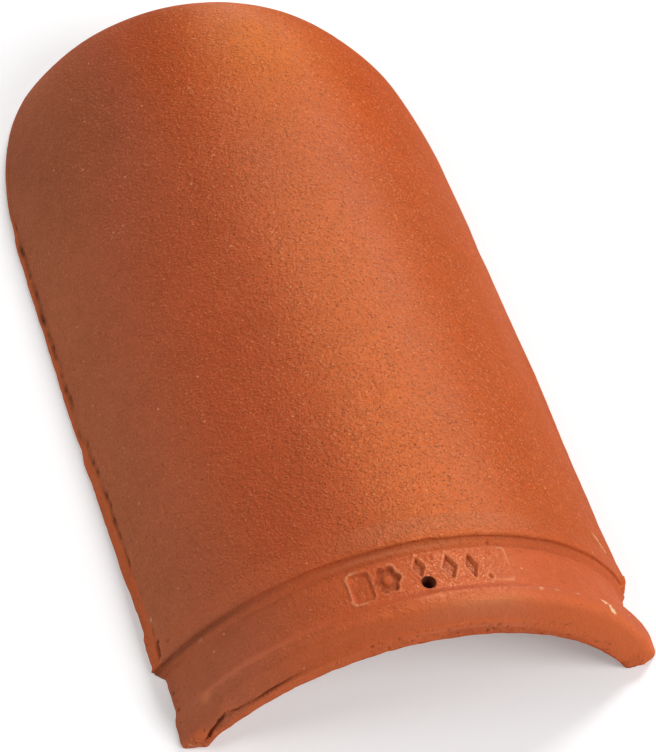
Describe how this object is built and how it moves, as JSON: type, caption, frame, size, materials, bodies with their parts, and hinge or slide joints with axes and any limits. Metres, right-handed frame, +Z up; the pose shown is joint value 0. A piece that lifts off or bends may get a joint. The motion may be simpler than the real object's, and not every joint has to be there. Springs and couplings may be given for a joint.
{
  "type": "clay roof tile",
  "caption": "Arched fired-clay hip starter tile with a closed rounded end, a stepped spigot collar with a raised rib, and a nail hole.",
  "frame": {"origin": "centre of the rectangle the tile covers, on the plane of its feet", "axes": "+Y along the tile towards its closed rounded end, +Z up from the feet to the crest, +X to the right seen from the spigot"},
  "size_m": [0.2286, 0.422, 0.0725],
  "materials": {
    "fired_clay": "matt unglazed terracotta, sand-grained and a little glossy on the barrel, smoother and duller on the collar"
  },
  "bodies": {
    "root": {"hip_starter_tile": "fired_clay"}
  },
  "joints": []
}
